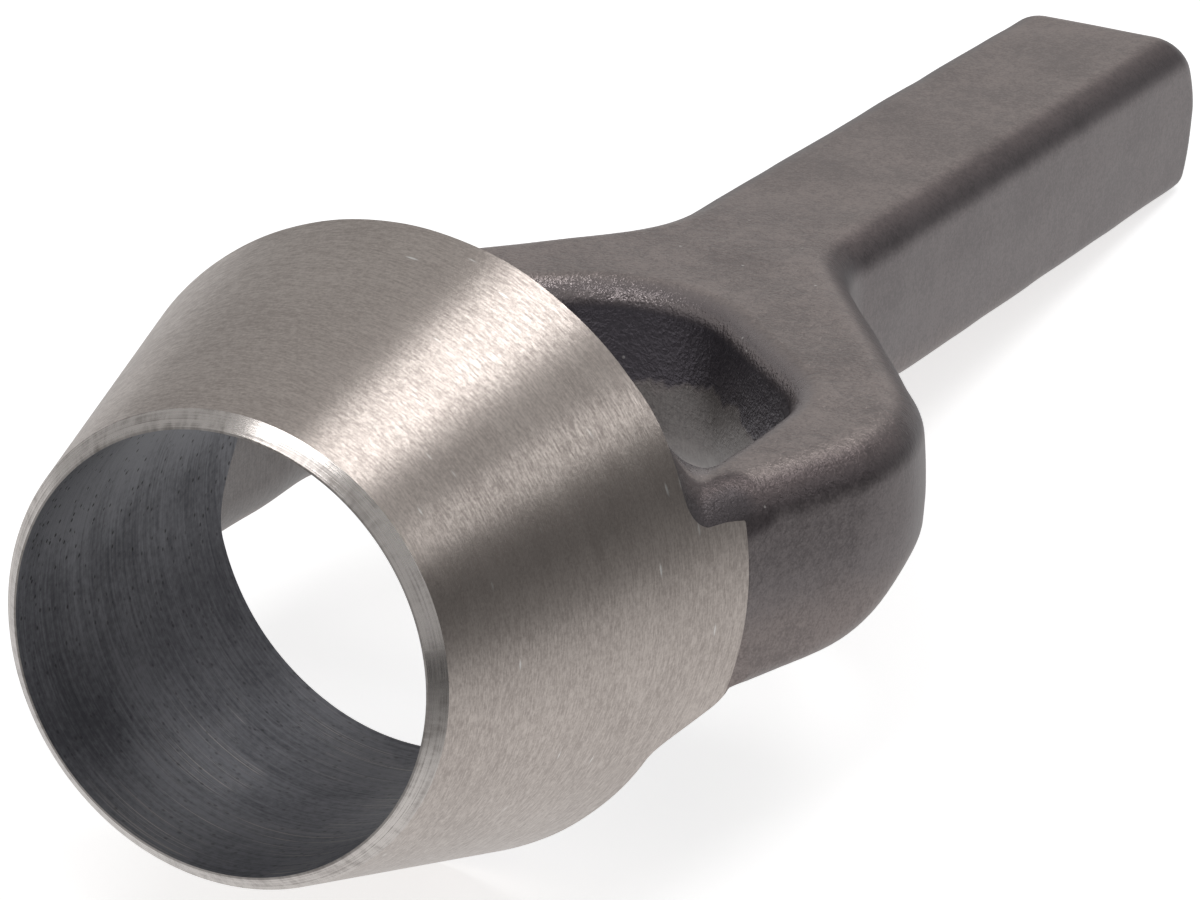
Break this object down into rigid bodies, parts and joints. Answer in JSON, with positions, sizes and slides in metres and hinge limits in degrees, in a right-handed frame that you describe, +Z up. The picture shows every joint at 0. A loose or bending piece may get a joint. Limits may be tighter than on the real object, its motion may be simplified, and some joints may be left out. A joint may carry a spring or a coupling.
{
  "type": "wad punch",
  "caption": "Arch-handled wad punch that cuts 30 mm discs: a ground hollow bell on the two arms of a drop-forged bow, with a rectangular shank that is struck with a mallet.",
  "frame": {"origin": "on the bench under the middle of the tool's box, the tool lying on its flat side", "axes": "+X from the cutting edge towards the struck end, +Y towards the left arm, +Z up from the bench. The tool's own axis dips by about 7 degrees towards the struck end, because the bell is thicker than the shank."},
  "size_m": [0.1512, 0.055, 0.0441],
  "materials": {
    "bevel_steel": "turned bright with fine lines, satin",
    "ground_steel": "ground, brushed round the axis",
    "forged_steel": "forged skin, blasted and tempered dark, semi-matt",
    "dressed_steel": "dressed smooth at the edges, darkened"
  },
  "bodies": {
    "root": {"cutting_edge": "bevel_steel", "bell": "ground_steel", "left_foot": "ground_steel", "right_foot": "ground_steel", "left_arm": "forged_steel", "right_arm": "forged_steel", "crown": "forged_steel", "shank": "forged_steel", "struck_end": "dressed_steel"}
  },
  "joints": []
}
